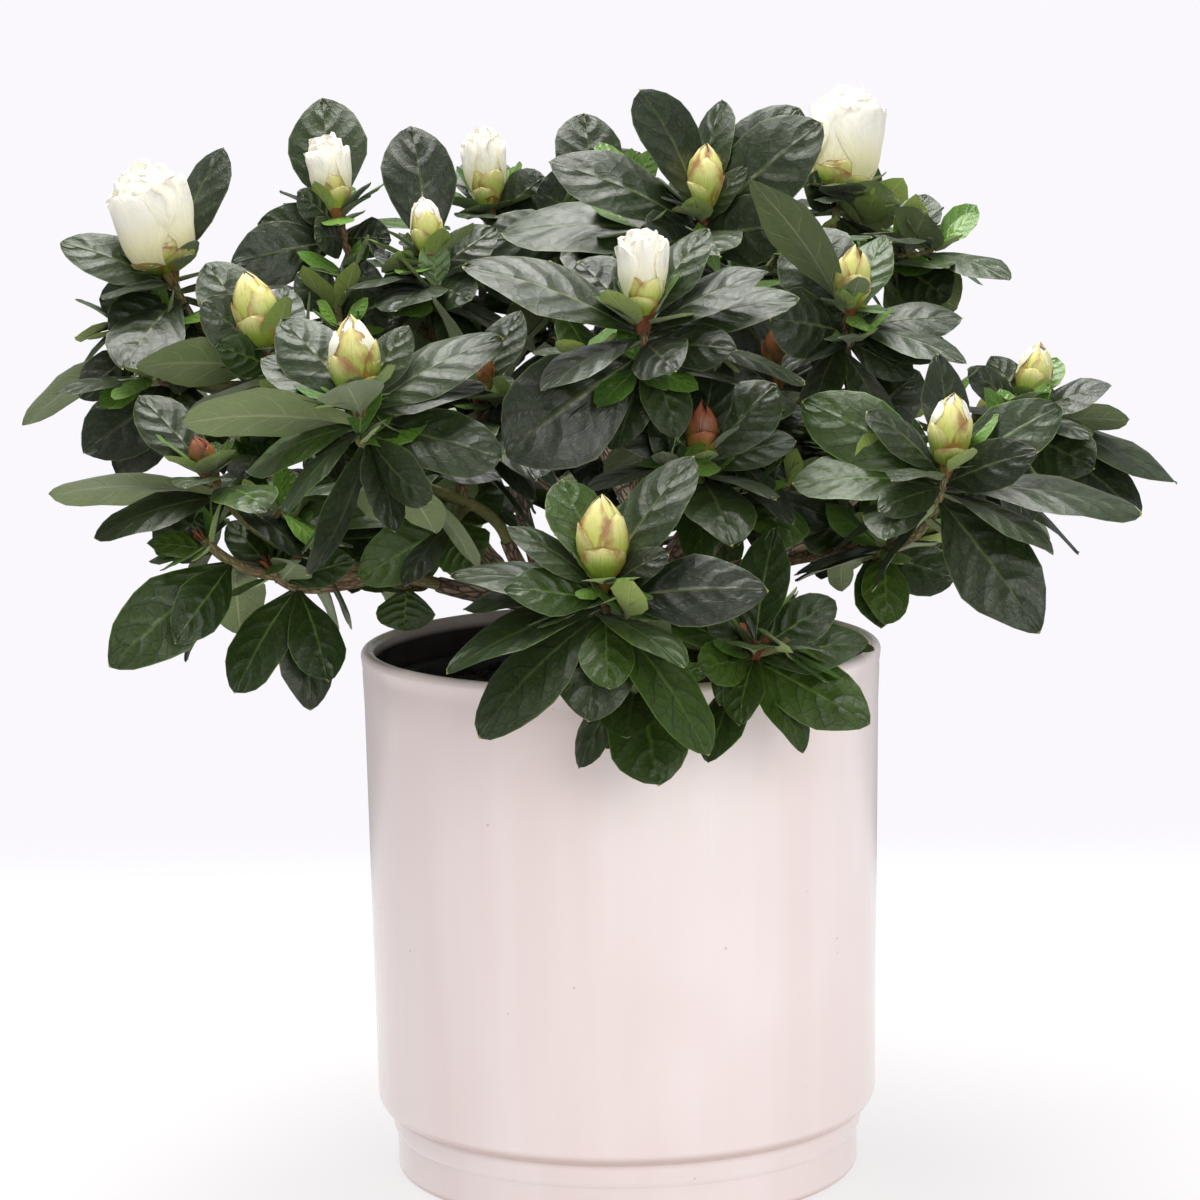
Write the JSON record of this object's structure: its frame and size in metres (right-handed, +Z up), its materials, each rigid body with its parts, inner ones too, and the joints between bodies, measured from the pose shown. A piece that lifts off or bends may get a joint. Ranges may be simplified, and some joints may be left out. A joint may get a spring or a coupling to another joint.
{
  "type": "potted azalea shrub",
  "caption": "Low domed evergreen flowering shrub with whorled leaves, buds and white blooms, growing in a plain round glazed cover pot.",
  "frame": {"origin": "centre of the cover pot's flat underside", "axes": "+Z up; -Y towards the front of the plant, +X to its right"},
  "size_m": [0.2921, 0.2572, 0.2815],
  "materials": {
    "glazed_pot": "gloss glaze, warm pinkish white",
    "grow_pot": "thin black moulded plastic",
    "potting_mix": "crumbly dark peat and bark",
    "bark": "thin pale brown bark, greenish on young wood",
    "foliage": "leathery evergreen leaves, satin above and matt olive below, with buds and blooms"
  },
  "bodies": {
    "root": {"pot": "glazed_pot", "grow_pot": "grow_pot", "potting_mix": "potting_mix", "trunk": "bark", "bough_top": "bark", "bough_front": "bark", "bough_low_left": "bark", "bough_right": "bark", "bough_back_left": "bark", "bough_back_mid_right": "bark", "bough_centre": "bark", "bough_low_right": "bark", "bough_front_left": "bark", "bough_left": "bark", "bough_far_left": "bark", "bough_upper_left": "bark", "bough_upper_back": "bark", "bough_upper_right": "bark", "bough_far_right": "bark", "bough_back_right": "bark", "bough_low_back_right": "bark", "bough_back": "bark", "bough_back_mid_left": "bark", "bough_back_top": "bark", "foliage_top": "foliage", "foliage_front": "foliage", "foliage_low_left": "foliage", "foliage_right": "foliage", "foliage_back_left": "foliage", "foliage_back_mid_right": "foliage", "foliage_centre": "foliage", "foliage_low_right": "foliage", "foliage_front_left": "foliage", "foliage_left": "foliage", "foliage_far_left": "foliage", "foliage_upper_left": "foliage", "foliage_upper_back": "foliage", "foliage_upper_right": "foliage", "foliage_far_right": "foliage", "foliage_back_right": "foliage", "foliage_low_back_right": "foliage", "foliage_back": "foliage", "foliage_back_mid_left": "foliage", "foliage_back_top": "foliage"}
  },
  "joints": []
}
